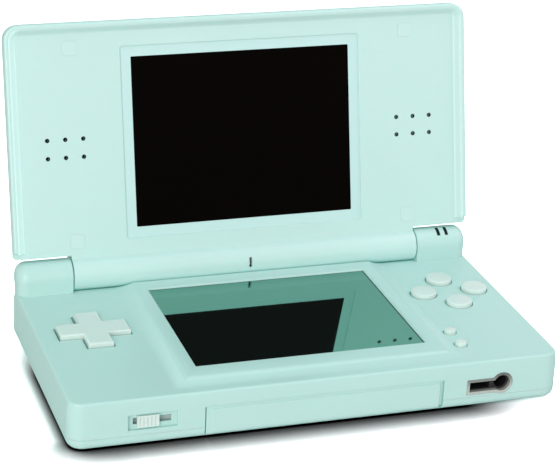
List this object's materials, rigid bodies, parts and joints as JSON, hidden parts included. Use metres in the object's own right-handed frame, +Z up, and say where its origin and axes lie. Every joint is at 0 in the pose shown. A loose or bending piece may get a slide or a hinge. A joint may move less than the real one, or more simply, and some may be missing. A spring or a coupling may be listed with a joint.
{
  "type": "clamshell handheld game console",
  "caption": "Folding handheld game console with a hinged lid screen, a touch screen in the base, a direction pad, round buttons, shoulder buttons, sliders, a stylus and a slot cover.",
  "frame": {"origin": "centre of the flat underside of the base", "axes": "+X to the right along the width, +Y back towards the hinge, +Z up out of the button face; the lid is stored open about 103 degrees"},
  "size_m": [0.133, 0.0885, 0.085],
  "materials": {
    "case_plastic": "smooth, softly glossy pale aqua",
    "button_plastic": "slightly cloudy pale aqua",
    "touch_glass": "smooth film over a dark screen",
    "window_glass": "clear, glossy",
    "display_black": "dark, glossy",
    "bright_steel": "pressed sheet and turned pins",
    "screw_steel": "plated",
    "black_plastic": "moulded",
    "battery_wrap": "wrapped flat cell",
    "circuit_board": "green board",
    "white_plastic": "moulded",
    "grey_rubber": "soft",
    "pad_rubber": "soft, pale aqua",
    "light_pipe": "clear",
    "flex_cable": "rolled film",
    "gauze_cloth": "fine gauze"
  },
  "bodies": {
    "base": {"bottom_shell": "case_plastic", "face_shell": "case_plastic", "battery_cover": "case_plastic", "battery_cover_screw": "screw_steel", "battery_pack": "battery_wrap", "battery_terminal": "black_plastic", "main_board": "circuit_board", "board_chips": "black_plastic", "wireless_module": "circuit_board", "lower_lcd": "display_black", "lower_lcd_bracket": "bright_steel", "touch_panel": "touch_glass", "card_slot_reader": "bright_steel", "cartridge_connector": "black_plastic", "headphone_jack": "black_plastic", "port_surround": "bright_steel", "power_socket": "black_plastic", "volume_control": "black_plastic", "power_switch": "black_plastic", "shoulder_switches": "black_plastic", "shoulder_pins": "bright_steel", "shoulder_springs": "bright_steel", "dpad_rubber": "grey_rubber", "action_button_rubber": "grey_rubber", "menu_button_rubber": "grey_rubber", "indicator_light_pipes": "light_pipe", "hinge_cam_module": "bright_steel", "hinge_bush": "white_plastic", "base_screws": "screw_steel", "underside_pads": "grey_rubber", "stylus_sleeve": "white_plastic", "strap_post": "bright_steel"},
    "lid": {"lid_outer_shell": "case_plastic", "lid_inner_frame": "case_plastic", "upper_window": "window_glass", "upper_lcd": "display_black", "upper_lcd_bracket": "bright_steel", "speaker_left": "black_plastic", "speaker_right": "black_plastic", "speaker_gauze": "gauze_cloth", "microphone": "bright_steel", "microphone_grommet": "grey_rubber", "hinge_cable": "flex_cable", "lid_screws": "screw_steel", "lid_screw_pads": "pad_rubber"},
    "dpad_pivot": {"dpad_pivot_pad": "grey_rubber"},
    "dpad": {"dpad_cap": "button_plastic"},
    "action_right": {"action_button_right": "button_plastic"},
    "action_lower": {"action_button_lower": "button_plastic"},
    "action_upper": {"action_button_upper": "button_plastic"},
    "action_left": {"action_button_left": "button_plastic"},
    "menu_upper": {"menu_button_upper": "button_plastic"},
    "menu_lower": {"menu_button_lower": "button_plastic"},
    "shoulder_left": {"left_shoulder_button": "button_plastic"},
    "shoulder_right": {"right_shoulder_button": "button_plastic"},
    "volume": {"volume_slider": "button_plastic"},
    "power": {"power_slider": "button_plastic"},
    "pen": {"stylus": "button_plastic"},
    "slot_cover": {"cartridge_slot_cover": "case_plastic"}
  },
  "joints": [
    {"name": "lid_hinge", "type": "hinge", "parent": "base", "child": "lid", "pos_m": [0, 0.03235, 0.01685], "axis": [-1, 0, 0], "range_deg": [-103.2, 51.8]},
    {"name": "dpad_tilt_x", "type": "hinge", "parent": "base", "child": "dpad_pivot", "pos_m": [-0.051, 0.0033, 0.0099], "axis": [1, 0, 0], "range_deg": [-2.2, 2.2], "stiffness_Nm_per_rad": 0.12},
    {"name": "dpad_tilt_y", "type": "hinge", "parent": "dpad_pivot", "child": "dpad", "pos_m": [-0.051, 0.0033, 0.0099], "axis": [0, 1, 0], "range_deg": [-2.2, 2.2], "stiffness_Nm_per_rad": 0.12},
    {"name": "action_right_press", "type": "slide", "parent": "base", "child": "action_right", "axis": [0, 0, -1], "range_m": [0, 0.0007], "stiffness_N_per_m": 400, "springref_m": -0.0005},
    {"name": "action_lower_press", "type": "slide", "parent": "base", "child": "action_lower", "axis": [0, 0, -1], "range_m": [0, 0.0007], "stiffness_N_per_m": 400, "springref_m": -0.0005},
    {"name": "action_upper_press", "type": "slide", "parent": "base", "child": "action_upper", "axis": [0, 0, -1], "range_m": [0, 0.0007], "stiffness_N_per_m": 400, "springref_m": -0.0005},
    {"name": "action_left_press", "type": "slide", "parent": "base", "child": "action_left", "axis": [0, 0, -1], "range_m": [0, 0.0007], "stiffness_N_per_m": 400, "springref_m": -0.0005},
    {"name": "menu_upper_press", "type": "slide", "parent": "base", "child": "menu_upper", "axis": [0, 0, -1], "range_m": [0, 0.0005], "stiffness_N_per_m": 300, "springref_m": -0.0005},
    {"name": "menu_lower_press", "type": "slide", "parent": "base", "child": "menu_lower", "axis": [0, 0, -1], "range_m": [0, 0.0005], "stiffness_N_per_m": 300, "springref_m": -0.0005},
    {"name": "shoulder_left_press", "type": "hinge", "parent": "base", "child": "shoulder_left", "pos_m": [-0.0497, 0.0339, 0.008], "axis": [0, 0, 1], "range_deg": [0, 2.3], "stiffness_Nm_per_rad": 0.15, "springref_deg": -2.86},
    {"name": "shoulder_right_press", "type": "hinge", "parent": "base", "child": "shoulder_right", "pos_m": [0.0497, 0.0339, 0.008], "axis": [0, 0, -1], "range_deg": [0, 2.3], "stiffness_Nm_per_rad": 0.15, "springref_deg": -2.86},
    {"name": "volume_slide", "type": "slide", "parent": "base", "child": "volume", "axis": [1, 0, 0], "range_m": [-0.00205, 0.00445]},
    {"name": "power_slide", "type": "slide", "parent": "base", "child": "power", "axis": [0, 1, 0], "range_m": [0, 0.0025], "stiffness_N_per_m": 150, "springref_m": -0.0015},
    {"name": "stylus_slide", "type": "slide", "parent": "base", "child": "pen", "axis": [1, 0, 0], "range_m": [0, 0.088]},
    {"name": "slot_cover_slide", "type": "slide", "parent": "base", "child": "slot_cover", "axis": [0, -1, 0], "range_m": [0, 0.026]}
  ]
}
